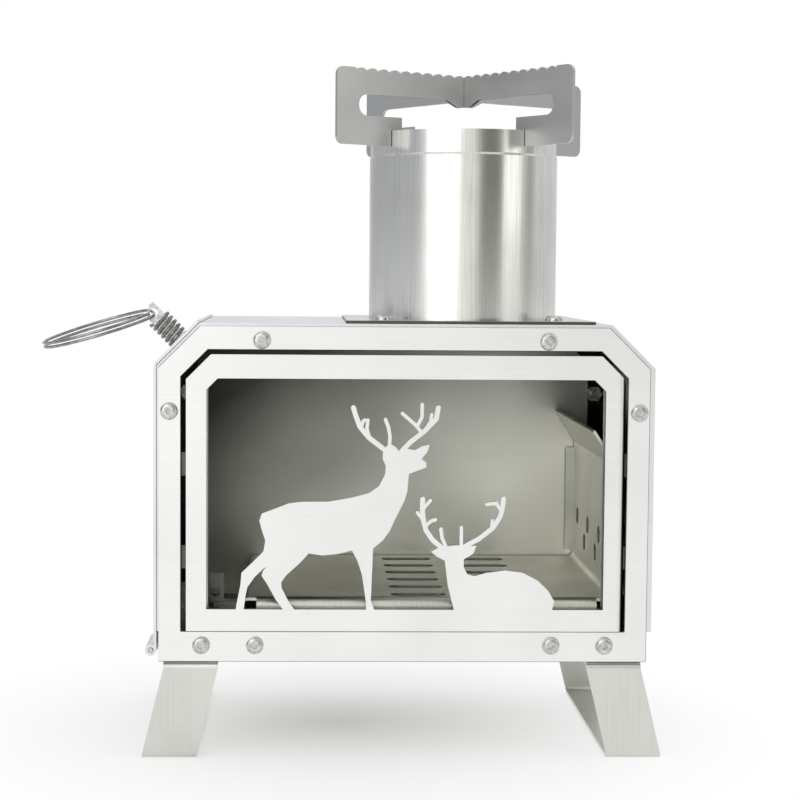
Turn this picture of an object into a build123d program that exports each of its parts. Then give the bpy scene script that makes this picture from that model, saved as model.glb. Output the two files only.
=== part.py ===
from build123d import *
import os
from math import cos, pi, radians, sin, sqrt

os.makedirs("parts", exist_ok=True)

# Portable wood stove of folded and laser-cut stainless sheet. Millimetres, +Z up,
# X to the stove's right seen from the front, Y to the back. Heights count from the
# ground and depths from the face of the front frame. The pieces are drawn about the
# middle of the body and moved to the middle of their footprint when they are written.

# Body
frame_width = 210.0
frame_height = 144.0
frame_chamfer = 17.5
body_depth = 134.0
leg_height = 42.5
sheet = 1.2
bend_radius = 1.6

# Front frame and its opening
opening_side = 9.6
opening_half = frame_width / 2 - opening_side
opening_bottom = 13.2
opening_margin = 10.0
opening_top = frame_height - opening_margin
opening_chamfer = 11.5

# Casing, which stands a little outside the frames, and the feed port under the side door
casing_left_out = 0.7
casing_right_out = 2.2
casing_skirt = 13.0
flange_width = 8.6
port_end = 21.0
port_length = body_depth - 2 * port_end
port_bottom = 30.0
port_margin = 28.0
port_top = frame_height - port_margin
port_corner = 6.0

# Window plate, glass and their fixings
plate_left_in = 11.8
plate_right_in = 10.2
plate_left = frame_width / 2 - plate_left_in
plate_right = frame_width / 2 - plate_right_in
plate_bottom = 13.25
plate_margin = 12.0
plate_top = frame_height - plate_margin
plate_chamfer = 10.6
plate_fold = 5.2
plate_soft_edge = 3.0
window_bar_left = 8.7
window_bar_right = 8.8
window_bar_top = 10.2
window_left = plate_left - window_bar_left
window_right = plate_right - window_bar_right
window_bottom = 22.7
window_top = plate_top - window_bar_top
window_chamfer = 4.8
relief_radius = 1.3
glass_gap = 2.0
glass_thickness = 3.0
retainer_thickness = 1.0
retainer_width = 6.0
bracket_width = 10.0
bracket_reach = 9.0
bracket_sheet = 1.0
bracket_heights = (45.0, 85.0)

# Bottom plate
bottom_flange = 11.5
side_flange = 20.0
flange_inset = 1.0

# Firebox tray: floor, right wall and leaning top in one folded sheet
tray_left_in = 35.0
tray_right_in = 14.0
tray_left = tray_left_in - frame_width / 2
tray_right = frame_width / 2 - tray_right_in
tray_floor = 26.8
tray_lean_margin = 59.5
tray_top_margin = 44.4
tray_lean_height = frame_height - tray_lean_margin
tray_top = frame_height - tray_top_margin
tray_lean = 9.8
tray_bend = 3.4
tray_front = 5.6
tray_lip_radius = 4.0
tray_lip_drop = 10.0
tray_fold = 4.0
tray_back_gap = 0.6
tray_back = body_depth - 2 * sheet - tray_back_gap
slot_length = 24.0
slot_width = 8.0
slot_centres = (7.2, 42.9)
slot_rows = 6
slot_first = 15.4
slot_last = 12.6
slot_pitch = (tray_back - slot_first - slot_last) / (slot_rows - 1)
vent_radius = 4.0
vent_upper = (48.9, 14.0, 4)
vent_lower = (39.3, 24.0, 3)
vent_last = 15.0
vent_pitch = (tray_back - vent_upper[1] - vent_last) / (vent_upper[2] - 1)
rail_in = 11.0
rail_place = tray_right - rail_in
rail_width = 12.0
rail_end = 19.5
rail_length = body_depth - 2 * rail_end
tab_in = 20.0
tab_left = tab_in - frame_width / 2
tab_width = 7.6
tab_shelf = 24.0
tab_top = 36.6
tab_depth = 12.0
tab_shelf_depth = 14.0
tab_hole_height = 28.6
tab_hole_radius = 2.3

# Screws: M4 button heads with hexagon sockets, and their nuts
screw_radius = 2.0
screw_hole_gap = 0.15
screw_length = 8.0
head_radius = 3.8
head_height = 2.2
head_crown = 1.7
socket_across = 2.5
socket_depth = 1.3
nut_across = 7.0
nut_height = 3.2
nut_gap = 0.05
top_screw_x = 61.0
top_screw_inset = 5.8
top_screw_height = frame_height - top_screw_inset
side_screw_inset = 4.6
side_screw_x = frame_width / 2 - side_screw_inset
side_screw_drop = 36.2
side_screw_height = frame_height - side_screw_drop
bottom_screw_x = (63.7, 86.7)
bottom_screw_height = 7.2

# Chimney
chimney_in = 76.0
chimney_x = frame_width / 2 - chimney_in
chimney_depth = 64.0
tube_radius = 42.6
tube_wall = 1.0
tube_rim = 85.6
swage_length = 11.0
swage_step = 0.4
swage_slope = 1.0
tube_seat = 0.6
tube_fit = 0.1
base_plate_side = 108.0
base_plate_corner = 2.0
base_screw_spacing = 75.0

# Pot rest: two slotted plates that cross over the chimney
rest_arm = 72.1
rest_top = 112.1
rest_bottom = 78.7
rest_sheet = 1.5
rest_turn = -9.5
rest_spread = 45.0
rest_bar = 11.4
rest_leg = 11.8
rest_corner = 4.4
rest_end_corner = 3.5
rest_foot_inner = 36.4
rest_foot_top = 91.5
rest_hub_drop = 2.6
rest_hub_flat = 4.8
rest_hub_slope = 10.5
tooth_pitch = 6.2
tooth_height = 1.6
tooth_count = 11
rim_slot_gap = 0.3
cross_gap = 0.1
cross_height = 105.0

# Legs: U straps with sheared struts
leg_width = 23.5
leg_sheet = 1.5
leg_bend = 3.0
leg_foot_bend = 2.4
leg_inset = 2.0
leg_top_inner = frame_width / 2 - leg_inset - leg_width
leg_foot_out = 9.3
leg_tab = 20.0
leg_end_gap = 1.0
leg_screw_inset = 12.0

# Side door, its hinge and the handle
door_gap = 0.3
door_end = 2.0
door_length = body_depth - 2 * door_end
door_skirt = 9.5
door_top = 1.0
pin_radius = 1.25
pin_gap = 0.05
knuckle_wall = 1.15
pin_height = 4.5
pin_overhang = 0.6
ear_length = 14.0
lug_length = 12.0
lug_gap = 0.5
handle_offset = 2.5
bar_width = 7.0
bar_thickness = 2.0
bar_slot_gap = 0.1
bar_tip = 6.6
bar_tip_width = 2.3
bar_shoulder = 2.9
bar_hole_radius = 1.95
bar_hole_out = 2.6
bar_hole_side = 0.3
spring_outer_radius = 5.5
spring_wire = 1.6
spring_pitch = 2.45
spring_turns = 5.5
spring_seat = 0.1
ring_radius = 26.0
ring_wire = 1.4
ring_pitch = 1.9
ring_droop = 16.4
ring_roll = 4.5
ring_climb = 45.0
ring_end_angle = 40.0
ring_end_short = 15.0

# Worked-out places that several pieces share
half = frame_width / 2
body_top = leg_height + frame_height
fold_share = 2 - sqrt(2)
casing_top = body_top + sheet
casing_left = -half - casing_left_out
casing_right = half + casing_right_out
casing_chamfer_left = frame_chamfer + (casing_left_out + sheet) * fold_share / 2
casing_chamfer_right = frame_chamfer + (casing_right_out + sheet) * fold_share / 2
floor_height = leg_height + tray_floor
screw_hole_radius = screw_radius + screw_hole_gap
front_places = [(sign * top_screw_x, leg_height + top_screw_height) for sign in (-1, 1)]
front_places += [(sign * side_screw_x, leg_height + side_screw_height) for sign in (-1, 1)]
front_places += [
    (sign * x, leg_height + bottom_screw_height) for sign in (-1, 1) for x in bottom_screw_x
]
base_half = base_screw_spacing / 2
chimney_y = chimney_depth - body_depth / 2
base_places = [
    (chimney_x + sx * base_half, chimney_y + sy * base_half) for sx in (-1, 1) for sy in (-1, 1)
]
leg_middle = leg_top_inner + leg_width / 2
leg_places = [
    (side * leg_middle, end * (body_depth / 2 - leg_screw_inset))
    for side in (-1, 1)
    for end in (-1, 1)
]


def at_depth(depth):
    """Upright plane facing the front, at a depth behind the front frame's face."""
    return Plane.XZ.offset(body_depth / 2 - depth)


def panel(left, right, bottom, top, chamfer_left, chamfer_right):
    """Corners of an upright panel whose two top corners are cut off."""
    return [
        (left, bottom),
        (left, top - chamfer_left),
        (left + chamfer_left, top),
        (right - chamfer_right, top),
        (right, top - chamfer_right),
        (right, bottom),
    ]


def inset(corners, distance, bottom=None):
    """The same panel with its sides and top moved inwards."""
    left, right = corners[0][0], corners[-1][0]
    top = corners[2][1]
    less = distance * fold_share
    low = corners[0][1] + distance if bottom is None else bottom
    return panel(
        left + distance,
        right - distance,
        low,
        top - distance,
        corners[2][0] - left - less,
        right - corners[3][0] - less,
    )


def fill(corners, mode=Mode.ADD):
    """Face inside a closed outline, in the current sketch."""
    Polygon(*corners, align=None, mode=mode)


def holes(plane, places, radius, depth):
    """Round holes cut through a sheet, from a plane to both sides."""
    with BuildSketch(plane) as rounds:
        with Locations(*places):
            Circle(radius)
    extrude(rounds.sketch, amount=depth, both=True, mode=Mode.SUBTRACT)


def biarc(start, start_direction, end, end_direction):
    """Two arcs that join two points and keep their directions, in the current line."""
    span = end - start
    both = start_direction + end_direction
    turn = 1 - start_direction.dot(end_direction)
    reach = span.dot(both)
    lead = (sqrt(reach**2 + 2 * turn * span.dot(span)) - reach) / (2 * turn)
    middle = (start + end + (start_direction - end_direction) * lead) / 2
    first = TangentArc(start, middle, tangent=start_direction)
    TangentArc(middle, end, tangent=first % 1)


def round_point(radius, angle, height):
    """Point on a turn about the Z axis."""
    return Vector(radius * cos(angle), radius * sin(angle), height)


def self_gap(path, wire, turns):
    """Least gap between the turns of a wound wire, measured on points."""
    points_per_turn = 48
    steps = int(turns * points_per_turn)
    points = [path @ (i / steps) for i in range(steps + 1)]
    return min(
        (points[i] - points[j]).length - wire
        for i in range(len(points))
        for j in range(i + points_per_turn // 2, len(points))
    )


# Fasteners, drawn once with the head above the XY plane and the nut below it
with BuildPart() as screw:
    with BuildSketch():
        Circle(head_radius)
    extrude(amount=head_height)
    fillet(screw.faces().sort_by(Axis.Z)[-1].edges(), radius=head_crown)
    with BuildSketch(Plane.XY.offset(head_height)):
        RegularPolygon(socket_across / 2, 6, major_radius=False)
    extrude(amount=-socket_depth, mode=Mode.SUBTRACT)
    with BuildSketch():
        Circle(screw_radius)
    extrude(amount=-screw_length)

with BuildPart() as nut:
    with BuildSketch():
        RegularPolygon(nut_across / 2, 6, major_radius=False)
        Circle(screw_radius + nut_gap, mode=Mode.SUBTRACT)
    extrude(amount=-nut_height)


def fasteners(label, piece, plane, places):
    """One fastener copied to each place on a plane."""
    with BuildPart(plane) as group:
        with Locations(*places):
            add(piece.part)
    group.part.label = label
    return group.part


pieces = []

# Front frame
frame_corners = panel(-half, half, leg_height, body_top, frame_chamfer, frame_chamfer)
frame_opening = panel(
    -opening_half,
    opening_half,
    leg_height + opening_bottom,
    leg_height + opening_top,
    opening_chamfer,
    opening_chamfer,
)
with BuildPart() as front_frame:
    with BuildSketch(at_depth(sheet)):
        fill(frame_corners)
        fill(frame_opening, Mode.SUBTRACT)
    extrude(amount=sheet)
    holes(at_depth(0), front_places, screw_hole_radius, 2 * sheet)
front_frame.part.label = "front_frame"
pieces.append(front_frame.part)

# Rear panel
with BuildPart() as rear_panel:
    with BuildSketch(at_depth(body_depth)):
        fill(frame_corners)
    extrude(amount=sheet)
    holes(at_depth(body_depth), front_places, screw_hole_radius, 2 * sheet)
rear_panel.part.label = "rear_panel"
pieces.append(rear_panel.part)

# Casing: both sides, both slopes and the top, with flanges folded in behind the frames
casing_corners = panel(
    casing_left,
    casing_right,
    leg_height + casing_skirt,
    casing_top,
    casing_chamfer_left,
    casing_chamfer_right,
)
casing_inside = inset(casing_corners, sheet, leg_height + casing_skirt)
with BuildPart() as casing:
    with BuildSketch(at_depth(body_depth - sheet)) as casing_section:
        fill(casing_corners)
        fillet(
            casing_section.vertices().filter_by(lambda v: v.Z > leg_height + 2 * casing_skirt),
            radius=bend_radius,
        )
        fill(casing_inside, Mode.SUBTRACT)
    extrude(amount=body_depth - 2 * sheet)
    for depth in (2 * sheet, body_depth - sheet):
        with BuildSketch(at_depth(depth)):
            fill(casing_inside)
            fill(inset(casing_inside, flange_width, leg_height + casing_skirt), Mode.SUBTRACT)
        extrude(amount=sheet)
    holes(at_depth(2 * sheet), front_places, screw_hole_radius, sheet)
    holes(at_depth(body_depth - 2 * sheet), front_places, screw_hole_radius, sheet)
    holes(
        Plane.XY.offset(casing_top),
        [(chimney_x, chimney_y)],
        tube_radius - tube_wall - tube_seat,
        2 * sheet,
    )
    holes(Plane.XY.offset(casing_top), base_places, screw_hole_radius, 2 * sheet)
    with BuildSketch(Plane.YZ.offset(casing_left)):
        with Locations((0, leg_height + (port_bottom + port_top) / 2)):
            RectangleRounded(port_length, port_top - port_bottom, port_corner)
    extrude(amount=2 * sheet, both=True, mode=Mode.SUBTRACT)
casing.part.label = "casing"
pieces.append(casing.part)

# Bottom plate with its four edges folded up
flange_left = casing_left + sheet
flange_right = half - flange_inset
plate_span = flange_right - flange_left
plate_centre = (flange_right + flange_left) / 2
inner_depth = body_depth - 2 * sheet
with BuildPart() as bottom_plate:
    with BuildSketch(Plane.XY.offset(leg_height)):
        with Locations((plate_centre, 0)):
            Rectangle(plate_span, inner_depth)
    extrude(amount=sheet)
    for end in (-1, 1):
        with BuildSketch(Plane.XY.offset(leg_height)):
            with Locations((plate_centre, end * (inner_depth - sheet) / 2)):
                Rectangle(plate_span, sheet)
        extrude(amount=bottom_flange)
    with BuildSketch(Plane.XY.offset(leg_height)):
        with Locations((flange_left + sheet / 2, 0), (flange_right - sheet / 2, 0)):
            Rectangle(sheet, inner_depth - 2 * sheet)
    extrude(amount=side_flange)
    for depth in (sheet, body_depth - sheet):
        holes(at_depth(depth), front_places[4:], screw_hole_radius, 2 * sheet)
    holes(Plane.XY.offset(leg_height), leg_places, screw_hole_radius, 2 * sheet)
bottom_plate.part.label = "bottom_plate"
pieces.append(bottom_plate.part)

# Stag ornament, cut in one piece with the window plate: its points count from the
# middle of the plate and from the lower edge of the window
stag_body = [
    (-54.5, 43.8), (-49.4, 45.8), (-43.8, 46.5), (-32.3, 46.6), (-22.5, 48.4), (-15.2, 50.3),
    (-10.9, 53.3), (-8.3, 58.4), (-8.0, 62.0), (-9.4, 65.0), (-9.2, 69.2), (-6.5, 71.6),
    (-4.1, 70.4), (-1.9, 67.9), (1.0, 69.4), (4.7, 68.8), (6.9, 65.2), (9.3, 63.6), (9.3, 61.4),
    (6.0, 60.2), (1.9, 58.6), (1.3, 51.1), (0.0, 46.8), (-2.8, 41.3), (-6.2, 34.0), (-8.8, 30.2),
    (-13.5, 26.2), (-22.0, 25.6), (-28.9, 23.9), (-35.3, 23.4), (-40.6, 24.2), (-50.0, 22.0),
    (-56.0, 22.5), (-60.1, 25.2), (-59.3, 29.7), (-61.0, 34.8), (-61.9, 38.3), (-60.8, 41.4),
]
stag_legs = [
    [(-13.2, 27.0), (-13.4, 20.3), (-14.0, 4.0), (-12.2, -1.0), (-16.0, -1.0), (-16.2, 4.0),
     (-17.8, 14.8), (-19.9, 21.2), (-23.0, 27.0)],
    [(-40.0, 25.0), (-44.7, 19.9), (-50.3, 14.8), (-52.4, 11.8), (-52.3, 9.4), (-49.6, 4.1),
     (-46.2, -1.0), (-51.0, -1.0), (-54.7, 4.1), (-58.2, 10.5), (-60.9, 14.6), (-60.2, 16.9),
     (-56.0, 21.0), (-55.0, 27.0)],
    [(-55.0, 24.5), (-55.8, 20.0), (-60.1, 17.6), (-63.9, 13.9), (-66.9, 9.6), (-67.8, 5.3),
     (-68.6, -1.0), (-72.1, -1.0), (-71.2, 4.1), (-69.9, 10.5), (-69.5, 15.8), (-65.2, 19.9),
     (-60.0, 25.2), (-57.0, 27.0)],
]
stag_ear = [(4.2, 66.0), (4.6, 69.0), (7.5, 70.6), (10.7, 71.2), (9.8, 68.2), (7.0, 64.8)]
stag_beams = [
    [(-9.3, 69.5), (-15.2, 74.0), (-19.2, 78.7), (-21.0, 83.6), (-22.0, 86.9)],
    [(-15.2, 74.4), (-16.2, 78.0), (-15.8, 81.6)],
    [(-18.6, 78.4), (-18.0, 80.8), (-17.2, 81.6)],
    [(-6.5, 71.0), (-6.3, 74.6), (-7.0, 78.6), (-8.3, 81.9)],
    [(-1.2, 68.4), (2.4, 72.3), (8.4, 77.0), (13.4, 82.2), (14.2, 87.0)],
    [(7.0, 76.6), (4.6, 79.6), (-1.1, 84.5)],
    [(5.2, 79.0), (7.3, 83.0), (7.3, 88.4)],
    [(9.4, 78.6), (11.0, 81.0), (11.4, 84.0)],
]
resting_body = [
    (22.0, -1.0), (20.6, 4.3), (19.0, 10.5), (18.4, 15.2), (17.6, 21.4), (16.2, 26.0),
    (19.0, 27.6), (22.5, 28.0), (25.6, 27.6), (26.4, 25.6), (25.8, 22.0), (25.8, 18.4),
    (27.4, 15.4), (30.5, 14.6), (35.3, 16.0), (43.6, 17.1), (51.1, 16.2), (57.7, 12.8),
    (62.4, 8.2), (65.0, 3.6), (63.8, -1.0),
]
resting_ears = [
    [(17.9, 21.2), (14.5, 22.8), (11.6, 25.2), (14.4, 26.7), (18.5, 26.2)],
    [(25.6, 26.4), (28.4, 27.6), (31.2, 27.8), (29.9, 24.4), (25.4, 21.6)],
]
resting_beams = [
    [(17.4, 26.0), (12.2, 30.3), (9.4, 34.4), (8.2, 39.0), (7.8, 43.6), (7.9, 47.8)],
    [(8.4, 38.6), (5.7, 42.0)],
    [(8.2, 43.6), (9.6, 45.4), (11.2, 47.2)],
    [(9.6, 36.6), (11.6, 38.4), (13.4, 39.0)],
    [(18.2, 26.8), (16.4, 31.0), (15.8, 35.0)],
    [(24.6, 26.8), (24.6, 35.6)],
    [(26.0, 27.4), (32.2, 30.8), (38.2, 35.6), (41.2, 40.4), (42.2, 44.4), (42.5, 48.0)],
    [(41.6, 43.0), (39.4, 46.2), (35.4, 45.6)],
    [(37.6, 36.0), (37.9, 38.6)],
]
beam_width = 2.1
tine_width = 1.5


def ornament(body, parts, beams):
    """Silhouette of one stag in the current sketch: body, straight-sided parts, antlers."""
    with Locations((0, leg_height + window_bottom)):
        Polygon(*body, align=None)
        for part in parts:
            Polygon(*part, align=None)
        for beam in beams:
            width = beam_width if len(beam) > 4 else tine_width
            for start, end in zip(beam, beam[1:]):
                middle = (Vector(*start) + Vector(*end)) / 2
                SlotCenterPoint(middle, end, width)


# Window plate: a shallow folded pan with the window and the ornament
plate_corners = panel(
    -plate_left,
    plate_right,
    leg_height + plate_bottom,
    leg_height + plate_top,
    plate_chamfer,
    plate_chamfer,
)
window_corners = panel(
    -window_left,
    window_right,
    leg_height + window_bottom,
    leg_height + window_top,
    window_chamfer,
    window_chamfer,
)
with BuildPart() as window_plate:
    with BuildSketch(at_depth(plate_fold)):
        fill(plate_corners)
    extrude(amount=plate_fold)
    rim = window_plate.faces().sort_by(Axis.Y)[0].edges()
    soft = rim.sort_by(Axis.X)[-1]
    fillet(soft, radius=plate_soft_edge)
    offset(amount=-sheet, openings=window_plate.faces().sort_by(Axis.Y)[-1])
    with BuildSketch(at_depth(0)):
        fill(window_corners)
    extrude(amount=plate_fold, both=True, mode=Mode.SUBTRACT)
    with BuildSketch(at_depth(sheet)):
        ornament(stag_body, stag_legs + [stag_ear], stag_beams)
        ornament(resting_body, resting_ears, resting_beams)
    extrude(amount=sheet)
    with BuildSketch(at_depth(plate_fold)):
        with Locations(*plate_corners):
            Circle(relief_radius)
    extrude(amount=plate_fold - sheet, mode=Mode.SUBTRACT)
window_plate.part.label = "window_plate"
pieces.append(window_plate.part)

# Glass and the retainer that holds it in the pan
glass_corners = inset(inset(plate_corners, sheet), glass_gap)
with BuildPart() as glass_pane:
    with BuildSketch(at_depth(sheet + glass_thickness)):
        fill(glass_corners)
    extrude(amount=glass_thickness)
glass_pane.part.label = "glass_pane"
pieces.append(glass_pane.part)

with BuildPart() as glass_retainer:
    with BuildSketch(at_depth(sheet + glass_thickness + retainer_thickness)):
        fill(glass_corners)
        fill(inset(glass_corners, retainer_width), Mode.SUBTRACT)
    extrude(amount=retainer_thickness)
glass_retainer.part.label = "glass_retainer"
pieces.append(glass_retainer.part)

# Angle brackets that join the window plate's fold to the casing's front flange
with BuildPart() as window_brackets:
    for side, edge in ((-1, -plate_left), (1, plate_right)):
        for height in bracket_heights:
            middle = leg_height + height
            with BuildSketch(at_depth(plate_fold)):
                with Locations((edge + side * bracket_sheet / 2, middle)):
                    Rectangle(bracket_sheet, bracket_width)
            extrude(amount=plate_fold - 2 * sheet)
            with BuildSketch(at_depth(2 * sheet + bracket_sheet)):
                with Locations((edge + side * bracket_reach / 2, middle)):
                    Rectangle(bracket_reach, bracket_width)
            extrude(amount=bracket_sheet)
window_brackets.part.label = "window_brackets"
pieces.append(window_brackets.part)

# Firebox tray
tray_length = tray_back - tray_front
tray_foot = leg_height + sheet
lean_start = leg_height + tray_lean_height
lean_end = leg_height + tray_top
tray_line = [
    (tray_left, tray_foot),
    (tray_left, floor_height - sheet / 2),
    (tray_right + sheet / 2, floor_height - sheet / 2),
    (tray_right + sheet / 2, lean_start),
    (tray_right + sheet / 2 - tray_lean, lean_end),
]
with BuildPart() as fire_tray:
    with BuildSketch(at_depth(tray_back)) as tray_section:
        with BuildLine() as tray_path:
            FilletPolyline(*tray_line, radius=tray_bend)
        trace(tray_path.line, sheet)
    extrude(amount=tray_length)
    lip_plane = Plane.YZ.offset(tray_left + 2 * tray_bend)
    lip_length = tray_right - tray_left - 4 * tray_bend
    lip_y = tray_front - body_depth / 2
    with BuildSketch(lip_plane):
        with Locations((lip_y, floor_height - 2 * sheet)):
            Rectangle(tray_lip_radius, 3 * sheet, align=(Align.MIN, Align.MIN))
    extrude(amount=lip_length, mode=Mode.SUBTRACT)
    with BuildSketch(lip_plane):
        with Locations((lip_y + tray_lip_radius, floor_height - tray_lip_radius)):
            Circle(tray_lip_radius)
            Circle(tray_lip_radius - sheet, mode=Mode.SUBTRACT)
            Rectangle(
                tray_lip_radius, tray_lip_radius, align=(Align.MAX, Align.MIN), mode=Mode.INTERSECT
            )
        with Locations((lip_y, floor_height - tray_lip_radius)):
            Rectangle(sheet, tray_lip_drop - tray_lip_radius, align=(Align.MIN, Align.MAX))
    extrude(amount=lip_length)
    with BuildSketch(Plane.XY.offset(floor_height)):
        for row in range(slot_rows):
            slot_y = slot_first + row * slot_pitch - body_depth / 2
            with Locations(*[(x, slot_y) for x in slot_centres]):
                SlotOverall(slot_length, slot_width)
    extrude(amount=2 * sheet, both=True, mode=Mode.SUBTRACT)
    for height, first, count in (vent_upper, vent_lower):
        vents = [
            (first + i * vent_pitch - body_depth / 2, leg_height + height) for i in range(count)
        ]
        holes(Plane.YZ.offset(tray_right + sheet / 2), vents, vent_radius, 2 * sheet)
    with BuildSketch(Plane.XY.offset(floor_height + tray_bend)):
        with Locations((tray_right, tray_back - body_depth / 2)):
            Rectangle(tray_fold, sheet, align=(Align.MAX, Align.MAX))
    extrude(amount=lean_start - floor_height - 2 * tray_bend)
fire_tray.part.label = "fire_tray"
pieces.append(fire_tray.part)

# Angle that carries the tray's right side on the bottom plate
with BuildPart() as tray_rail:
    with BuildSketch(Plane.XY.offset(tray_foot)):
        with Locations((rail_place, 0)):
            Rectangle(rail_width, rail_length, align=(Align.MAX, Align.CENTER))
    extrude(amount=sheet)
    with BuildSketch(Plane.XY.offset(tray_foot)):
        with Locations((rail_place, 0)):
            Rectangle(sheet, rail_length, align=(Align.MAX, Align.CENTER))
    extrude(amount=floor_height - sheet - tray_foot)
tray_rail.part.label = "tray_rail"
pieces.append(tray_rail.part)

# Tab with a hole beside the tray's left foot
with BuildPart() as tray_tab:
    tab_y = tab_depth - body_depth / 2
    foot_face = tray_left - sheet / 2
    with BuildSketch(Plane.XY.offset(leg_height + tab_shelf)):
        with Locations((foot_face, tab_y)):
            Rectangle(foot_face - tab_left, tab_shelf_depth, align=(Align.MAX, Align.MIN))
    extrude(amount=sheet)
    with BuildSketch(at_depth(tab_depth + sheet)):
        with Locations((tab_left, leg_height + tab_shelf)):
            Rectangle(tab_width, tab_top - tab_shelf, align=(Align.MIN, Align.MIN))
    extrude(amount=sheet)
    tab_hole = (tab_left + tab_width / 2, leg_height + tab_hole_height)
    holes(at_depth(tab_depth), [tab_hole], tab_hole_radius, 2 * sheet)
tray_tab.part.label = "tray_tab"
pieces.append(tray_tab.part)

# Chimney: base plate and tube with a slightly drawn-in top
base_top = casing_top + sheet
tube_top = body_top + tube_rim
with BuildPart() as chimney_base:
    with BuildSketch(Plane.XY.offset(casing_top)):
        with Locations((chimney_x, chimney_y)):
            RectangleRounded(base_plate_side, base_plate_side, base_plate_corner)
            Circle(tube_radius + tube_fit, mode=Mode.SUBTRACT)
    extrude(amount=sheet)
    holes(Plane.XY.offset(base_top), base_places, screw_hole_radius, 2 * sheet)
chimney_base.part.label = "chimney_base"
pieces.append(chimney_base.part)

swage_start = tube_top - swage_length
neck_radius = tube_radius - swage_step
with BuildPart() as chimney_tube:
    with BuildSketch(Plane.XZ.offset(-chimney_y)):
        with Locations((chimney_x, 0)):
            Polygon(
                (tube_radius - tube_wall, casing_top),
                (tube_radius, casing_top),
                (tube_radius, swage_start),
                (neck_radius, swage_start + swage_slope),
                (neck_radius, tube_top),
                (neck_radius - tube_wall, tube_top),
                (neck_radius - tube_wall, swage_start + swage_slope),
                (tube_radius - tube_wall, swage_start),
                align=None,
            )
    revolve(axis=Axis((chimney_x, chimney_y, 0), (0, 0, 1)))
chimney_tube.part.label = "chimney_tube"
pieces.append(chimney_tube.part)

# Pot rest
rest_high = body_top + rest_top
rest_low = body_top + rest_bottom
rest_under = rest_high - rest_bar
foot_high = body_top + rest_foot_top
hub_low = rest_under - rest_hub_drop
rest_inner = rest_arm - rest_leg


def rest_blank():
    """Upright plate of the pot rest in the XZ plane, before its crossing slot is cut."""
    with BuildPart() as blank:
        with BuildSketch(Plane.XZ):
            with Locations((0, rest_low)):
                Rectangle(2 * rest_arm, rest_high - rest_low, align=(Align.CENTER, Align.MIN))
        extrude(amount=rest_sheet / 2, both=True)
        ends = blank.edges().filter_by(Axis.Y).group_by(Axis.X)
        fillet([ends[0], ends[-1]], radius=rest_end_corner)
        with BuildSketch(Plane.XZ) as window:
            for side in (-1, 1):
                Polygon(
                    (0, rest_low - 1),
                    (side * rest_foot_inner, rest_low - 1),
                    (side * rest_foot_inner, foot_high),
                    (side * rest_inner, foot_high),
                    (side * rest_inner, rest_under),
                    (side * rest_hub_slope, rest_under),
                    (side * rest_hub_flat, hub_low),
                    (0, hub_low),
                    align=None,
                )
            corners = window.vertices().filter_by(lambda v: abs(abs(v.X) - rest_inner) < 0.01)
            fillet(corners, radius=rest_corner)
        extrude(amount=rest_sheet, both=True, mode=Mode.SUBTRACT)
        with BuildSketch(Plane.XZ):
            for side in (-1, 1):
                for tooth in range(tooth_count - 1):
                    start = side * tooth * tooth_pitch
                    end = side * (tooth + 1) * tooth_pitch
                    with BuildLine():
                        ThreePointArc(
                            (start, rest_high - tooth_height),
                            ((start + end) / 2, rest_high),
                            (end, rest_high - tooth_height),
                        )
                        Polyline(
                            (end, rest_high - tooth_height),
                            (end, rest_high + 1),
                            (start, rest_high + 1),
                            (start, rest_high - tooth_height),
                        )
                    make_face()
        extrude(amount=rest_sheet, both=True, mode=Mode.SUBTRACT)
        rim_outer = neck_radius + rim_slot_gap
        rim_width = tube_wall + 2 * rim_slot_gap
        with BuildSketch(Plane.XZ):
            with Locations(*[(side * (rim_outer - rim_width / 2), rest_low) for side in (-1, 1)]):
                Rectangle(rim_width, 2 * (tube_top - rest_low))
        extrude(amount=rest_sheet, both=True, mode=Mode.SUBTRACT)
    return blank.part


def rest_plate(turn, slot_low, slot_high):
    """One plate of the pot rest, slotted at its middle and turned to its place."""
    place = Plane((chimney_x, chimney_y, 0), x_dir=(cos(radians(turn)), sin(radians(turn)), 0))
    with BuildPart(place) as plate:
        add(rest_blank())
        with Locations((0, 0, slot_low)):
            Box(
                rest_sheet + 2 * cross_gap,
                2 * rest_sheet,
                slot_high - slot_low,
                align=(Align.CENTER, Align.CENTER, Align.MIN),
                mode=Mode.SUBTRACT,
            )
    return plate.part


crossing = body_top + cross_height
pot_rest_plate_a = rest_plate(rest_turn + rest_spread, rest_low, crossing)
pot_rest_plate_a.label = "pot_rest_plate_a"
pieces.append(pot_rest_plate_a)
pot_rest_plate_b = rest_plate(rest_turn - rest_spread, crossing, rest_high + 1)
pot_rest_plate_b.label = "pot_rest_plate_b"
pieces.append(pot_rest_plate_b)

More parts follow.
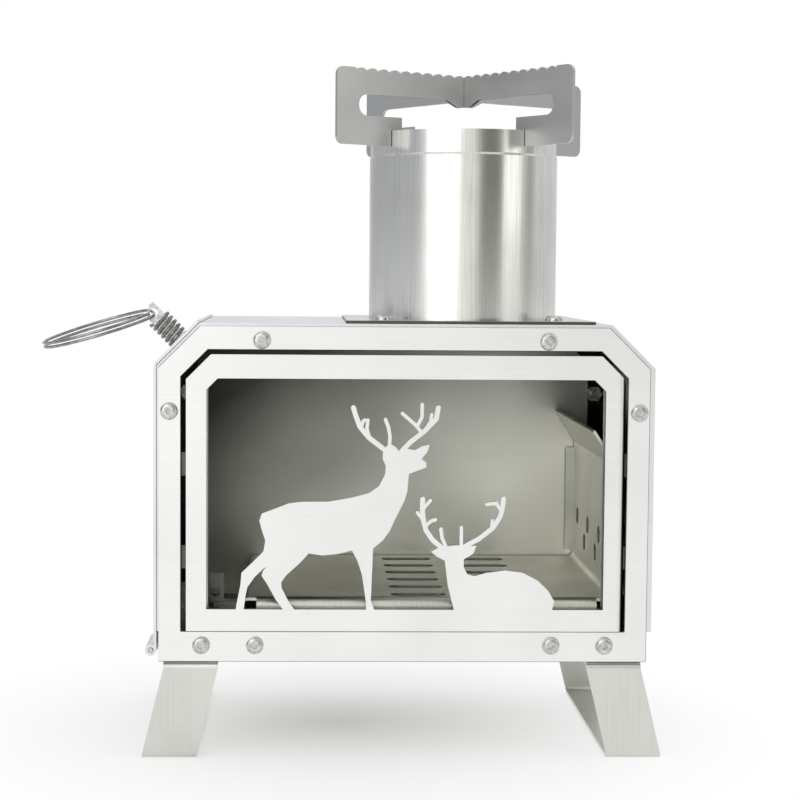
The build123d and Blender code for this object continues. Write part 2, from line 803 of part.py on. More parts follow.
# Legs: the strap is folded in side view, and its struts lean outwards in front view
strap_end = body_depth / 2 - leg_end_gap
with BuildPart() as right_leg:
    with BuildSketch(Plane.YZ):
        with BuildLine() as strap:
            low = leg_sheet / 2
            high = leg_height - leg_sheet / 2
            reach = strap_end - leg_sheet / 2
            FilletPolyline(
                (reach - leg_tab, high), (reach, high), (reach, low), (0, low), radius=leg_foot_bend
            )
            mirror(strap.line, about=Plane.YZ)
        trace(strap.line, leg_sheet)
    extrude(amount=half + leg_foot_out + leg_width)
    with BuildSketch(Plane.XZ):
        Polygon(
            (leg_top_inner, leg_height),
            (leg_top_inner, leg_height - leg_bend),
            (leg_top_inner + leg_foot_out, leg_sheet),
            (leg_top_inner + leg_foot_out, 0),
            (leg_top_inner + leg_foot_out + leg_width, 0),
            (leg_top_inner + leg_foot_out + leg_width, leg_sheet),
            (leg_top_inner + leg_width, leg_height - leg_bend),
            (leg_top_inner + leg_width, leg_height),
            align=None,
        )
    extrude(amount=body_depth, both=True, mode=Mode.INTERSECT)
    holes(Plane.XY.offset(leg_height), leg_places[2:], screw_hole_radius, 2 * leg_sheet)
right_leg.part.label = "right_leg"
pieces.append(right_leg.part)

with BuildPart() as left_leg:
    mirror(right_leg.part, about=Plane.YZ)
left_leg.part.label = "left_leg"
pieces.append(left_leg.part)

# Hinge: a folded bracket with two lugs, and its pin
knuckle_radius = pin_radius + pin_gap + knuckle_wall
door_inner = casing_left - door_gap
pin_x = door_inner - knuckle_radius
pin_z = leg_height + pin_height
lug_place = door_length / 2 - ear_length - lug_gap - lug_length / 2


def knuckle(centre, length):
    """Round knuckle with its pin hole, added to the current part along Y."""
    with BuildSketch(Plane.XZ.offset(-centre)) as ring:
        with Locations((pin_x, pin_z)):
            Circle(knuckle_radius)
    extrude(ring.sketch, amount=length / 2, both=True)


with BuildPart() as hinge_bracket:
    with BuildSketch(Plane.XZ):
        with Locations((casing_left, pin_z - knuckle_radius)):
            Rectangle(
                sheet,
                leg_height + casing_skirt - door_gap - pin_z + knuckle_radius,
                align=(Align.MIN, Align.MIN),
            )
    extrude(amount=lug_place + lug_length / 2, both=True)
    for end in (-1, 1):
        knuckle(end * lug_place, lug_length)
        with BuildSketch(Plane.XZ.offset(-end * lug_place)):
            with Locations((pin_x, pin_z - knuckle_radius)):
                Rectangle(casing_left - pin_x, sheet, align=(Align.MIN, Align.MIN))
        extrude(amount=lug_length / 2, both=True)
    holes(Plane.XZ, [(pin_x, pin_z)], pin_radius + pin_gap, door_length)
hinge_bracket.part.label = "hinge_bracket"
pieces.append(hinge_bracket.part)

with BuildPart() as hinge_pin:
    with BuildSketch(Plane.XZ):
        with Locations((pin_x, pin_z)):
            Circle(pin_radius)
    extrude(amount=door_length / 2 + pin_overhang, both=True)
    chamfer(hinge_pin.edges().filter_by(GeomType.CIRCLE), length=pin_overhang / 2)
hinge_pin.part.label = "hinge_pin"
pieces.append(hinge_pin.part)

# Side door: a folded panel over the left side and slope, with two hinge ears
door_inner_corners = panel(
    door_inner,
    half,
    pin_z,
    casing_top + door_gap,
    casing_chamfer_left + door_gap * fold_share,
    frame_chamfer,
)
door_outer_corners = inset(door_inner_corners, -sheet, pin_z)
slope_end = casing_top + door_top
slope_run = slope_end - (door_inner_corners[1][1] - door_inner)
with BuildPart() as side_door:
    with BuildSketch(Plane.XZ) as door_section:
        lower_inner = door_inner_corners[1]
        lower_outer = door_outer_corners[1]
        slope_inner = slope_end - sheet * sqrt(0.5) - lower_inner[1]
        slope_outer = slope_end - lower_outer[1]
        Polygon(
            (door_inner, pin_z),
            lower_inner,
            (lower_inner[0] + slope_inner, lower_inner[1] + slope_inner),
            (lower_outer[0] + slope_outer, lower_outer[1] + slope_outer),
            lower_outer,
            (door_inner - sheet, pin_z),
            align=None,
        )
        bend = door_section.vertices().filter_by(
            lambda v: abs(v.X - lower_outer[0]) < 0.01 and v.Z > pin_z + 1
        )
        fillet(bend, radius=bend_radius + sheet)
        inner_bend = door_section.vertices().filter_by(
            lambda v: abs(v.X - lower_inner[0]) < 0.01 and v.Z > pin_z + 1
        )
        fillet(inner_bend, radius=bend_radius)
    extrude(amount=door_length / 2, both=True)
    with BuildSketch(Plane.YZ.offset(door_inner - sheet - knuckle_radius)):
        Rectangle(
            door_length - 2 * ear_length,
            2 * (leg_height + door_skirt),
        )
    extrude(amount=4 * knuckle_radius, mode=Mode.SUBTRACT)
    for end in (-1, 1):
        knuckle(end * (door_length - ear_length) / 2, ear_length)
    holes(Plane.XZ, [(pin_x, pin_z)], pin_radius + pin_gap, door_length)
    slope_middle = (lower_outer[0] + slope_outer / 2, lower_outer[1] + slope_outer / 2)
    handle_x = slope_middle[0] - handle_offset * sqrt(0.5)
    handle_z = slope_middle[1] - handle_offset * sqrt(0.5)
    handle_plane = Plane((handle_x, 0, handle_z), x_dir=(1, 0, 1), z_dir=(-1, 0, 1))
    with BuildSketch(handle_plane):
        Rectangle(bar_width + 2 * bar_slot_gap, bar_thickness + 2 * bar_slot_gap)
    extrude(amount=-2 * sheet, mode=Mode.SUBTRACT)
side_door.part.label = "side_door"
pieces.append(side_door.part)

# Handle: flat bar through the slope, wire coil round it and split ring in its end
spring_length = spring_seat + spring_turns * spring_pitch + spring_wire
coil_radius = spring_outer_radius - spring_wire / 2
with BuildPart() as straight_bar:
    with BuildSketch(Plane.XZ):
        Polygon(
            (-bar_width / 2, -sheet),
            (bar_width / 2, -sheet),
            (bar_width / 2, spring_length + bar_tip),
            (bar_width / 2 - bar_tip_width, spring_length + bar_tip),
            (-bar_width / 2, spring_length + bar_shoulder),
            align=None,
        )
        with Locations((bar_hole_side, spring_length + bar_hole_out)):
            Circle(bar_hole_radius, mode=Mode.SUBTRACT)
    extrude(amount=bar_thickness / 2, both=True)
with BuildPart(handle_plane) as handle_bar:
    add(straight_bar.part)
handle_bar.part.label = "handle_bar"
pieces.append(handle_bar.part)

with BuildPart() as straight_spring:
    with BuildLine() as spring_path:
        quarter = pi / 2
        rise = spring_pitch / 4
        bottom = spring_seat + spring_wire / 2
        slope = Vector(0, coil_radius, spring_pitch / (2 * pi)).normalized()
        for step in range(int(spring_turns * 4)):
            turned = step * quarter
            biarc(
                round_point(coil_radius, turned, bottom + step * rise),
                slope.rotate(Axis.Z, turned * 180 / pi),
                round_point(coil_radius, turned + quarter, bottom + (step + 1) * rise),
                slope.rotate(Axis.Z, (turned + quarter) * 180 / pi),
            )
    with BuildSketch(Plane(spring_path.line @ 0, z_dir=spring_path.line % 0)):
        Circle(spring_wire / 2)
    sweep(path=spring_path.line)
print("spring gap", round(self_gap(spring_path.line, spring_wire, spring_turns), 2))
with BuildPart(handle_plane) as handle_spring:
    add(straight_spring.part)
handle_spring.part.label = "handle_spring"
pieces.append(handle_spring.part)

with BuildPart() as flat_ring:
    with BuildLine() as ring_path:
        flat = 360 - ring_climb
        for height, first, sweep_angle in ((0, 0, flat), (ring_pitch, 360, flat - ring_end_short)):
            for quarter_turn in range(4):
                part_angle = sweep_angle / 4
                CenterArc(
                    (0, 0, height - ring_pitch / 2),
                    ring_radius,
                    first + quarter_turn * part_angle,
                    part_angle,
                )
            if height == 0:
                biarc(
                    round_point(ring_radius, radians(flat), -ring_pitch / 2),
                    Vector(0, 1, 0).rotate(Axis.Z, flat),
                    round_point(ring_radius, 0, ring_pitch / 2),
                    Vector(0, 1, 0),
                )
    with BuildSketch(Plane(ring_path.line @ 0, z_dir=ring_path.line % 0)):
        Circle(ring_wire / 2)
    sweep(path=ring_path.line)
print("ring gap", round(self_gap(ring_path.line, ring_wire, 2), 2))

hole_centre = handle_plane.from_local_coords(
    Vector(bar_hole_side, 0, spring_length + bar_hole_out)
)
ring_out = Vector(-cos(radians(ring_droop)), 0, -sin(radians(ring_droop)))
ring_face = Vector(0, 1, 0).cross(ring_out)
ring_plane = Plane(
    hole_centre + ring_out * ring_radius,
    x_dir=-ring_out,
    z_dir=ring_face * cos(radians(ring_roll)) - Vector(0, sin(radians(ring_roll)), 0),
)
with BuildPart(ring_plane) as handle_ring:
    with Locations(Location((0, 0, 0), (0, 0, ring_end_angle))):
        add(flat_ring.part)
handle_ring.part.label = "handle_ring"
pieces.append(handle_ring.part)

# Fasteners in their places
front_face = at_depth(0)
rear_face = Plane((0, body_depth / 2, 0), x_dir=(1, 0, 0), z_dir=(0, 1, 0))
rear_places = [(x, -z) for x, z in front_places]
inner_front = at_depth(2 * sheet)
inner_rear = Plane((0, body_depth / 2 - 2 * sheet, 0), x_dir=(1, 0, 0), z_dir=(0, 1, 0))
under_leg = Plane((0, 0, leg_height - leg_sheet), x_dir=(1, 0, 0), z_dir=(0, 0, -1))
above_plate = Plane((0, 0, leg_height + sheet), x_dir=(1, 0, 0), z_dir=(0, 0, -1))
leg_local = [(x, -y) for x, y in leg_places]
pieces += [
    fasteners("front_frame_screws", screw, front_face, front_places),
    fasteners("front_frame_nuts", nut, inner_front, front_places),
    fasteners("rear_panel_screws", screw, rear_face, rear_places),
    fasteners("rear_panel_nuts", nut, inner_rear, rear_places),
    fasteners("leg_screws", screw, under_leg, leg_local),
    fasteners("leg_nuts", nut, above_plate, leg_local),
    fasteners("chimney_screws", screw, Plane.XY.offset(base_top), base_places),
    fasteners("chimney_nuts", nut, Plane.XY.offset(body_top), base_places),
]

# Every piece moved to the middle of the footprint and written
low = Vector(*[min(tuple(p.bounding_box().min)[i] for p in pieces) for i in range(3)])
high = Vector(*[max(tuple(p.bounding_box().max)[i] for p in pieces) for i in range(3)])
shift = Location((-(low.X + high.X) / 2, -(low.Y + high.Y) / 2, -low.Z))
for piece in pieces:
    label = piece.label
    placed = piece.moved(shift)
    placed.label = label
    export_step(placed, f"parts/{label}.step")
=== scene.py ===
# Looks of the portable wood stove: folded and laser-cut stainless sheet with a glazed
# front, a side door on a pin, a short chimney and a lift-off pot rest.
# Metres, +Z up. The CAD pieces keep their places and get their surfaces here.
import math

import bpy
from mathutils import Matrix, Vector


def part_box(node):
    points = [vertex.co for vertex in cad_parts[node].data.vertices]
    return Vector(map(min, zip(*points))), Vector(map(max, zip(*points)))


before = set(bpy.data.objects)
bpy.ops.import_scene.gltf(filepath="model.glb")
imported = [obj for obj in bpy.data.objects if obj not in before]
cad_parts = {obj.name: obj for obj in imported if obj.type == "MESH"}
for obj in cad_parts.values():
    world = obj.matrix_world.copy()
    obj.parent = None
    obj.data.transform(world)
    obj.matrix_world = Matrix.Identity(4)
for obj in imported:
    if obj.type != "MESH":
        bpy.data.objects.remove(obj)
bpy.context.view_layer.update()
scene = bpy.context.scene
scene.view_settings.view_transform = "Standard"

MM = 0.001

casing_low, casing_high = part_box("casing")
firebox_middle = (casing_low + casing_high) / 2


# Node trees
def linear(code):
    """Linear colour of an sRGB hex code."""
    parts = []
    for start in (0, 2, 4):
        level = int(code[start : start + 2], 16) / 255
        low = level <= 0.04045
        parts.append(level / 12.92 if low else ((level + 0.055) / 1.055) ** 2.4)
    return (*parts, 1.0)


white = linear("FFFFFF")


def add_node(tree, kind, inputs=None, **settings):
    """Adds a node, sets it up and links it: an input is a value or another node's socket."""
    node = tree.nodes.new(kind)
    for name, value in settings.items():
        setattr(node, name, value)
    for key, value in (inputs or {}).items():
        if isinstance(value, bpy.types.NodeSocket):
            tree.links.new(value, node.inputs[key])
        else:
            node.inputs[key].default_value = value
    return node


def add_math(tree, operation, *values):
    """Result of one operation on numbers or sockets."""
    inputs = dict(enumerate(values))
    return add_node(tree, "ShaderNodeMath", inputs, operation=operation).outputs[0]


def add_vector_math(tree, operation, *values):
    """Node of one operation on vectors, whose result is a vector or a value."""
    inputs = dict(enumerate(values))
    return add_node(tree, "ShaderNodeVectorMath", inputs, operation=operation).outputs


def add_range(tree, value, from_low, from_high, to_low=0.0, to_high=1.0):
    """Value carried from one range to another and held at its ends."""
    inputs = {
        "Value": value,
        "From Min": from_low,
        "From Max": from_high,
        "To Min": to_low,
        "To Max": to_high,
    }
    return add_node(tree, "ShaderNodeMapRange", inputs).outputs[0]


def add_noise(tree, place, scale, detail, roughness=0.5):
    """Level of smooth noise at a place."""
    inputs = {"Vector": place, "Scale": scale, "Detail": detail, "Roughness": roughness}
    return add_node(tree, "ShaderNodeTexNoise", inputs).outputs[0]


def add_ramp(tree, value, stops):
    """Colour along stops, each a position from 0 to 1 and an sRGB hex code."""
    ramp = add_node(tree, "ShaderNodeValToRGB", {"Fac": value})
    elements = ramp.color_ramp.elements
    while len(elements) > 1:
        elements.remove(elements[-1])
    first_position, first_code = stops[0]
    elements[0].position = first_position
    elements[0].color = linear(first_code)
    for position, code in stops[1:]:
        elements.new(position).color = linear(code)
    return ramp.outputs[0]


def mix_colours(tree, share, first, second):
    """Colour between two, by the share of the second. A mix node keeps its colours in the
    inputs 6 and 7 and gives its colour in the output 2."""
    inputs = {0: share, 6: first, 7: second}
    return add_node(tree, "ShaderNodeMix", inputs, data_type="RGBA").outputs[2]


def mix_shaders(tree, share, first, second):
    """Shader between two, by the share of the second."""
    return add_node(tree, "ShaderNodeMixShader", {0: share, 1: first, 2: second}).outputs[0]


def new_material(name):
    """Empty node material and its tree."""
    material = bpy.data.materials.new(name)
    material.use_nodes = True
    tree = material.node_tree
    tree.nodes.clear()
    return material, tree


def show_surface(tree, shader):
    """Makes a shader the surface of its material."""
    add_node(tree, "ShaderNodeOutputMaterial", {"Surface": shader})


# Metals. Noise stays mostly between these levels, which are stretched to its whole range
noise_low = 0.3
noise_high = 0.7

# Rolling lines: how long each is, and how fine and strong they are
line_length_mm = 45.0
line_detail = 3.0
line_roughness = 0.62
line_strength = 0.3
# Cloudy patches that every sheet has
patch_mm = 38.0
patch_detail = 2.0
# Share of lines and patches at which a sheet is wholly dull and wholly bright, and what
# that does to its roughness
dull_share = 0.15
bright_share = 0.75
duller_by = 0.07
glossier_by = 0.05
# How squarely a face has to look along the sheet's own direction: below the first it is
# a cut edge, above the second the sheet's face
edge_facing = 0.72
face_facing = 0.97
# Painted shade inside the back wall: it deepens to the upper left, between these distances along
# that direction
painted_shade_direction = (-0.5, 0.0, 0.86)
painted_shade_start = 0.05
painted_shade_end = 0.155


def steel_sheet(
    name, bright, dull, roughness, along, line_mm, line_depth_mm, inner=None, cut=None, painted_shade=None
):
    """Stainless sheet with rolling lines along one axis and faint cloudy patches.

    A sheet round the firebox may have another colour on its inner side, on the wrap a painted
    shade over the whole inside, and with that a painted shade there towards its upper left.
    A flat sheet may have a darker laser-cut edge, given as its colour and the axis that the
    sheet faces."""
    material, tree = new_material(name)
    coordinates = add_node(tree, "ShaderNodeTexCoord")
    place = coordinates.outputs["Object"]
    normal = coordinates.outputs["Normal"]

    per_metre = {axis: 1000 / line_mm for axis in "XYZ"}
    per_metre[along] = 1000 / line_length_mm
    stretched = add_node(
        tree,
        "ShaderNodeMapping",
        {"Vector": place, "Scale": (per_metre["X"], per_metre["Y"], per_metre["Z"])},
    )
    lines = add_noise(tree, stretched.outputs[0], 1.0, line_detail, line_roughness)
    patches = add_noise(tree, place, 1000 / patch_mm, patch_detail)
    line_level = add_range(tree, lines, noise_low, noise_high)
    patch_level = add_range(tree, patches, noise_low, noise_high)
    level = add_math(tree, "MULTIPLY", add_math(tree, "ADD", line_level, patch_level), 0.5)

    outer_colour = add_ramp(tree, level, [(dull_share, dull), (bright_share, bright)])
    rough = add_range(tree, level, 0.0, 1.0, roughness + duller_by, roughness - glossier_by)
    bump = add_node(
        tree,
        "ShaderNodeBump",
        {"Height": lines, "Strength": line_strength, "Distance": line_depth_mm * MM},
    )

    colour = outer_colour
    if inner:
        outward = add_vector_math(tree, "SUBTRACT", place, tuple(firebox_middle))["Vector"]
        faces_out = add_vector_math(tree, "DOT_PRODUCT", outward, normal)["Value"]
        outside = add_math(tree, "GREATER_THAN", faces_out, 0.0)
        colour = mix_colours(tree, outside, linear(inner), outer_colour)
        if painted_shade:
            # Painted shade on the inner side, deepening towards the upper left
            upper_left = add_vector_math(tree, "DOT_PRODUCT", place, painted_shade_direction)["Value"]
            painted_shade_share = add_range(tree, upper_left, painted_shade_start, painted_shade_end)
            inside = add_math(tree, "SUBTRACT", 1.0, outside)
            painted_shade_inside = add_math(tree, "MULTIPLY", painted_shade_share, inside)
            colour = mix_colours(tree, painted_shade_inside, colour, linear(painted_shade))
    if cut:
        cut_colour, facing_axis = cut
        facing = add_node(tree, "ShaderNodeSeparateXYZ", {0: normal}).outputs[facing_axis]
        flatness = add_math(tree, "ABSOLUTE", facing)
        edge_share = add_range(tree, flatness, edge_facing, face_facing, 1.0, 0.0)
        colour = mix_colours(tree, edge_share, colour, linear(cut_colour))

    shader = add_node(
        tree,
        "ShaderNodeBsdfPrincipled",
        {"Base Color": colour, "Metallic": 1.0, "Roughness": rough, "Normal": bump.outputs[0]},
    )
    show_surface(tree, shader.outputs[0])
    return material


# Brushed 304 stainless, the shown side of the front: pale satin with fine lines across,
# and edges browned a little by the laser. The real lines are about 0.1 mm apart and are
# drawn at 0.5 mm so that they show
front_steel = steel_sheet(
    "stainless brushed across",
    bright="F1F1EF",
    dull="EAEAE8",
    roughness=0.3,
    along="X",
    line_mm=0.5,
    line_depth_mm=0.005,
    cut=("6E6C68", "Y"),
)
# The same sheet round the firebox, with its lines along the depth. Its inner side is
# painted near black as painted shade, for the inside where no light reaches it
wrap_steel = steel_sheet(
    "stainless wrap sheet",
    bright="E6E7E9",
    dull="DADBDD",
    roughness=0.3,
    along="Y",
    line_mm=0.5,
    line_depth_mm=0.006,
    # Painted shade: near black over the whole inner side
    inner="2E2D2C",
)
# The side door and the bracket that it hangs on, brushed alike on both sides
door_steel = steel_sheet(
    "stainless brushed along",
    bright="E6E7E9",
    dull="DADBDD",
    roughness=0.3,
    along="Y",
    line_mm=0.5,
    line_depth_mm=0.006,
)
# Chimney's base plate: the same sheet with laser-cut edges
base_steel = steel_sheet(
    "stainless base plate",
    bright="DEDFE0",
    dull="CFD0D1",
    roughness=0.3,
    along="Y",
    line_mm=0.5,
    line_depth_mm=0.006,
    cut=("5E5C59", "Z"),
)
# Rolled tube: lines run up the tube and the rolled surface is a little glossier
tube_steel = steel_sheet(
    "stainless rolled tube",
    bright="E6E6E2",
    dull="CDCDC8",
    roughness=0.19,
    along="Z",
    line_mm=0.7,
    line_depth_mm=0.012,
)
# Blasted plate of the pot rest: even satin, a little darker
satin_steel = steel_sheet(
    "stainless satin plate",
    bright="C4C5C3",
    dull="B4B5B3",
    roughness=0.34,
    along="X",
    line_mm=0.45,
    line_depth_mm=0.006,
)
# Leg straps: satin with lines along the strap
leg_steel = steel_sheet(
    "stainless leg strap",
    bright="DADAD5",
    dull="CFCFCA",
    roughness=0.32,
    along="Z",
    line_mm=0.6,
    line_depth_mm=0.006,
)
# Mill-finish sheet inside the firebox: warmer and duller, with broad cloudy patches
inner_steel = steel_sheet(
    "stainless mill finish",
    bright="DEDCD4",
    dull="CBC9C1",
    roughness=0.34,
    along="Z",
    line_mm=0.8,
    line_depth_mm=0.005,
)
# Back wall: brushed outside; warmer inside, with a painted shade towards its upper left
wall_steel = steel_sheet(
    "stainless back wall",
    bright="E6E7E7",
    dull="DADBDB",
    roughness=0.33,
    along="X",
    line_mm=0.5,
    line_depth_mm=0.005,
    inner="EFECE4",
    painted_shade="4F4D49",
)
# Small folded brackets and the tab: painted dark as painted shade, for where they sit in shade
# inside the firebox
painted_shade_steel = steel_sheet(
    "stainless painted shade",
    bright="6E6D6A",
    dull="5A5957",
    roughness=0.45,
    along="Z",
    line_mm=0.8,
    line_depth_mm=0.01,
)

# Specks of turned and drawn metal: how fine they are, between which levels their colour
# goes from dull to bright, and what they do to the roughness
speck_detail = 2.0
dull_speck = 0.35
bright_speck = 0.65
speck_duller_by = 0.05
speck_glossier_by = 0.03


def plain_metal(name, bright, dull, roughness, speck_mm):
    """Turned or drawn metal with small specks in its colour and gloss."""
    material, tree = new_material(name)
    place = add_node(tree, "ShaderNodeTexCoord").outputs["Object"]
    specks = add_noise(tree, place, 1000 / speck_mm, speck_detail)
    colour = add_ramp(tree, specks, [(dull_speck, dull), (bright_speck, bright)])
    dullest = roughness + speck_duller_by
    glossiest = roughness - speck_glossier_by
    rough = add_range(tree, specks, noise_low, noise_high, dullest, glossiest)
    shader = add_node(
        tree,
        "ShaderNodeBsdfPrincipled",
        {"Base Color": colour, "Metallic": 1.0, "Roughness": rough},
    )
    show_surface(tree, shader.outputs[0])
    return material


# A2 stainless screws and nuts: cold-formed, bright, slightly uneven gloss
screw_steel = plain_metal(
    "stainless fastener", bright="D6D6D4", dull="B4B4B2", roughness=0.24, speck_mm=1.6
)
# Hard-drawn spring wire: darker and glossier, as drawn wire is
wire_steel = plain_metal(
    "drawn spring wire", bright="8E8E8B", dull="6F6F6C", roughness=0.14, speck_mm=2.4
)
# Polished ring wire: bright with sharp reflections
ring_steel = plain_metal(
    "polished ring wire", bright="A4A4A2", dull="868684", roughness=0.1, speck_mm=3.0
)

# Clear heat-proof glass with a coating that takes most of its gloss away: almost
# invisible from the front, a faint sheen at flat angles. The sheen rises steeply with
# the angle, up to its share at grazing view
glass_angle_blend = 0.25
sheen_steepness = 3.0
grazing_sheen = 0.4
sheen_roughness = 0.02
clear_glass, glass_tree = new_material("heat-proof glass")
slant = add_node(glass_tree, "ShaderNodeLayerWeight", {"Blend": glass_angle_blend})
steep = add_math(glass_tree, "POWER", slant.outputs["Facing"], sheen_steepness)
glass_sheen = add_math(glass_tree, "MULTIPLY", steep, grazing_sheen)
glass_open = add_node(glass_tree, "ShaderNodeBsdfTransparent", {"Color": linear("FAFBFA")})
glass_gloss = add_node(
    glass_tree, "ShaderNodeBsdfGlossy", {"Color": white, "Roughness": sheen_roughness}
)
show_surface(
    glass_tree,
    mix_shaders(glass_tree, glass_sheen, glass_open.outputs[0], glass_gloss.outputs[0]),
)

# Which surface each piece has
surface_of = {
    "front_frame": front_steel,
    "window_plate": front_steel,
    "rear_panel": wall_steel,
    "casing": wrap_steel,
    "side_door": door_steel,
    "hinge_bracket": door_steel,
    "chimney_base": base_steel,
    "bottom_plate": inner_steel,
    "glass_retainer": inner_steel,
    "window_brackets": painted_shade_steel,
    # The brackets and the tab take the painted shade
    "fire_tray": inner_steel,
    "tray_rail": inner_steel,
    "tray_tab": painted_shade_steel,
    "glass_pane": clear_glass,
    "chimney_tube": tube_steel,
    "pot_rest_plate_a": satin_steel,
    "pot_rest_plate_b": satin_steel,
    "right_leg": leg_steel,
    "left_leg": leg_steel,
    "hinge_pin": screw_steel,
    "handle_bar": screw_steel,
    "handle_spring": wire_steel,
    "handle_ring": ring_steel,
    "front_frame_screws": screw_steel,
    "front_frame_nuts": screw_steel,
    "rear_panel_screws": screw_steel,
    "rear_panel_nuts": screw_steel,
    "leg_screws": screw_steel,
    "leg_nuts": screw_steel,
    "chimney_screws": screw_steel,
    "chimney_nuts": screw_steel,
}

# Corners of the CAD mesh closer than this become one
same_corner_mm = 0.002
# Cut edges that are broken by hand after the laser. Faces that lie within the first
# angle of each other count as one flat face, and edges sharper than the second are broken
broken_edge_mm = {"front_frame": 0.25, "chimney_base": 0.2}
flat_face_angle = 0.5
broken_edge_angle = 50
# Edges sharper than this are shaded crisp. The tube's facets are under 6 degrees apart
# and the crease below its rim is 20
sheet_crease_angle = 30
tube_crease_angle = 14
# How much more large faces count than small ones in the shading of a corner, at most 100
large_face_weight = 100


def dress(name, material, crease_angle):
    """Gives a CAD piece its surface, shades its bends smoothly and keeps its corners crisp."""
    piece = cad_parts[name]
    piece.data.materials.clear()
    piece.data.materials.append(material)
    for polygon in piece.data.polygons:
        polygon.use_smooth = True
    weld = piece.modifiers.new("joined corners", "WELD")
    weld.merge_threshold = same_corner_mm * MM
    if name in broken_edge_mm:
        whole = piece.modifiers.new("whole faces", "DECIMATE")
        whole.decimate_type = "DISSOLVE"
        whole.angle_limit = math.radians(flat_face_angle)
        edge = piece.modifiers.new("broken edges", "BEVEL")
        edge.width = broken_edge_mm[name] * MM
        edge.segments = 1
        edge.limit_method = "ANGLE"
        edge.angle_limit = math.radians(broken_edge_angle)
        edge.use_clamp_overlap = False
    crease = piece.modifiers.new("crisp corners", "EDGE_SPLIT")
    crease.split_angle = math.radians(crease_angle)
    flat = piece.modifiers.new("flat faces stay flat", "WEIGHTED_NORMAL")
    flat.weight = large_face_weight
    flat.keep_sharp = True


for name, material in surface_of.items():
    is_tube = name == "chimney_tube"
    dress(name, material, tube_crease_angle if is_tube else sheet_crease_angle)

# Floor: a pale sheet that takes the object's shadow close by and is plain white further
# off, where the camera or a reflection sees it. The share of white goes from nothing at
# the first distance from the middle, which is negative so that the middle has some
# already, to all at the second
floor_side = 12.0
shadow_start = -0.06
shadow_end = 0.2
floor_material, floor_tree = new_material("pale floor")
floor_place = add_node(floor_tree, "ShaderNodeTexCoord").outputs["Object"]
from_middle = add_vector_math(floor_tree, "LENGTH", floor_place)["Value"]
far_share = add_range(floor_tree, from_middle, shadow_start, shadow_end)
floor_rays = add_node(floor_tree, "ShaderNodeLightPath").outputs
seen_or_mirrored = add_math(
    floor_tree, "MAXIMUM", floor_rays["Is Camera Ray"], floor_rays["Is Glossy Ray"]
)
white_share = add_math(floor_tree, "MULTIPLY", far_share, seen_or_mirrored)
floor_paint = add_node(floor_tree, "ShaderNodeBsdfDiffuse", {"Color": linear("F8F8F8")})
floor_white = add_node(floor_tree, "ShaderNodeEmission", {"Color": white, "Strength": 1.0})
show_surface(
    floor_tree,
    mix_shaders(floor_tree, white_share, floor_paint.outputs[0], floor_white.outputs[0]),
)
bpy.ops.mesh.primitive_plane_add(size=floor_side, location=(0, 0, 0))
floor = bpy.context.object
floor.name = "floor"
floor.data.materials.append(floor_material)

# Studio round the object: pale walls with soft lighter and darker panels, which the
# metal shows as bands, and plain white where the camera looks past the object
world = bpy.data.worlds.new("studio")
scene.world = world
world.use_nodes = True
world_tree = world.node_tree
world_tree.nodes.clear()
direction = add_node(world_tree, "ShaderNodeTexCoord").outputs["Generated"]
towards = add_node(world_tree, "ShaderNodeSeparateXYZ", {0: direction}).outputs
to_front = add_math(world_tree, "MULTIPLY", towards["Y"], -1.0)
turn = add_math(world_tree, "ARCTAN2", towards["X"], to_front)
around = add_range(world_tree, turn, -math.pi, math.pi)
# Bearing from the front in degrees (left is negative) and grey level of each panel
studio_panels = [
    (-180, "F0F0F0"),
    (-150, "B9BBC0"),
    (-62, "B9BBC0"),
    (-48, "FFFFFF"),
    (-16, "FFFFFF"),
    (10, "F6F6F2"),
    (19, "6C6B64"),
    (39, "6C6B64"),
    (47, "D2D2CE"),
    (76, "C4C4C0"),
    (84, "94948F"),
    (94, "DCDCDE"),
    (150, "DCDCDE"),
    (180, "F0F0F0"),
]
panels = add_ramp(
    world_tree, around, [((bearing + 180) / 360, grey) for bearing, grey in studio_panels]
)
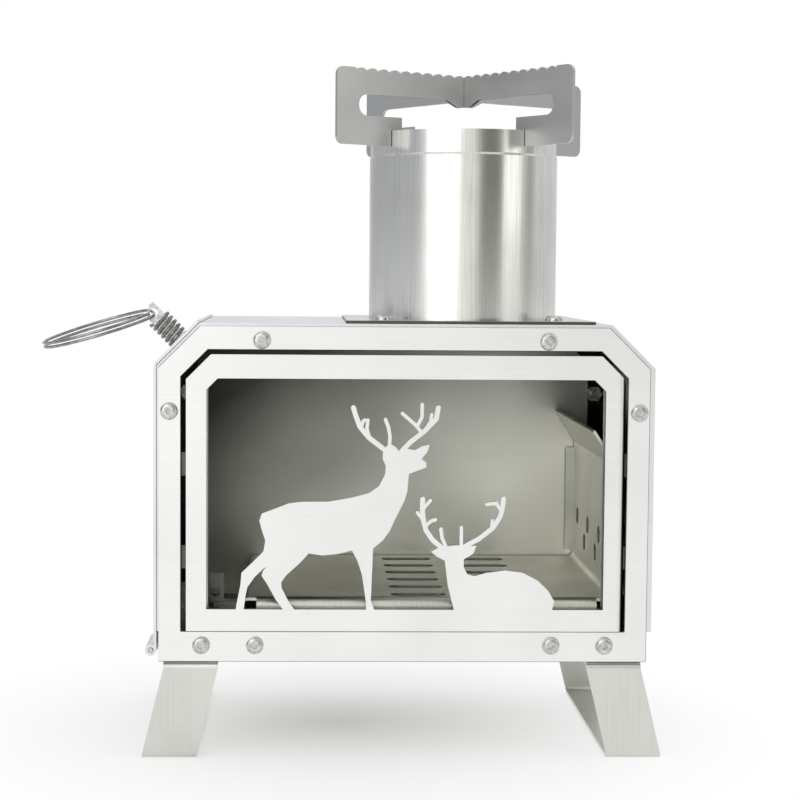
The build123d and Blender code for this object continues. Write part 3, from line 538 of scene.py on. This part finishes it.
# The walls turn into a white ceiling between these heights, where 1 is straight up
walls_end = 0.35
ceiling_start = 0.75
ceiling_strength = 0.95
ceiling_share = add_range(world_tree, towards["Z"], walls_end, ceiling_start)
panel_light = add_node(
    world_tree, "ShaderNodeBackground", {"Color": panels, "Strength": 1.0}
)
ceiling_light = add_node(
    world_tree, "ShaderNodeBackground", {"Color": white, "Strength": ceiling_strength}
)
room_light = mix_shaders(
    world_tree, ceiling_share, panel_light.outputs[0], ceiling_light.outputs[0]
)
backdrop_white = add_node(
    world_tree, "ShaderNodeBackground", {"Color": white, "Strength": 1.0}
)
world_rays = add_node(world_tree, "ShaderNodeLightPath").outputs
seen_directly = add_math(
    world_tree, "MAXIMUM", world_rays["Is Camera Ray"], world_rays["Is Transmission Ray"]
)
studio = mix_shaders(world_tree, seen_directly, room_light, backdrop_white.outputs[0])
add_node(world_tree, "ShaderNodeOutputWorld", {"Surface": studio})

stove_middle = Vector((0.0, 0.0, 0.14))


def soft_lamp(name, place, size, watts):
    """Square soft lamp aimed at the middle of the stove."""
    light = bpy.data.lights.new(name, "AREA")
    light.size = size
    light.energy = watts
    lamp = bpy.data.objects.new(name, light)
    aim = (stove_middle - Vector(place)).to_track_quat("-Z", "Y")
    lamp.matrix_world = Matrix.Translation(place) @ aim.to_matrix().to_4x4()
    scene.collection.objects.link(lamp)


soft_lamp("key", place=(-0.9, -1.7, 0.8), size=1.5, watts=6.5)
soft_lamp("fill", place=(1.6, -1.0, 0.6), size=0.8, watts=1.5)

# Camera at the photograph's place: a slight turn to the right, a little downwards
camera_place = (-0.01687, -0.87801, 0.20989)
yaw = 0.0261
pitch = 0.0728
roll = 0.0067
sensor_width_mm = 36.0
focal_length_mm = 85.944
shift_right = 0.0554
shift_up = 0.0136
ahead = Vector(
    (math.sin(yaw) * math.cos(pitch), math.cos(yaw) * math.cos(pitch), -math.sin(pitch))
)
level = Vector((math.cos(yaw), -math.sin(yaw), 0.0))
upward = level.cross(ahead)
camera_right = level * math.cos(roll) + upward * math.sin(roll)
camera_up = upward * math.cos(roll) - level * math.sin(roll)
camera_data = bpy.data.cameras.new("camera")
camera_data.sensor_width = sensor_width_mm
camera_data.lens = focal_length_mm
camera_data.shift_x = shift_right
camera_data.shift_y = shift_up
camera = bpy.data.objects.new("camera", camera_data)
turned = Matrix((camera_right, camera_up, -ahead)).transposed().to_4x4()
camera.matrix_world = Matrix.Translation(camera_place) @ turned
scene.collection.objects.link(camera)
scene.camera = camera
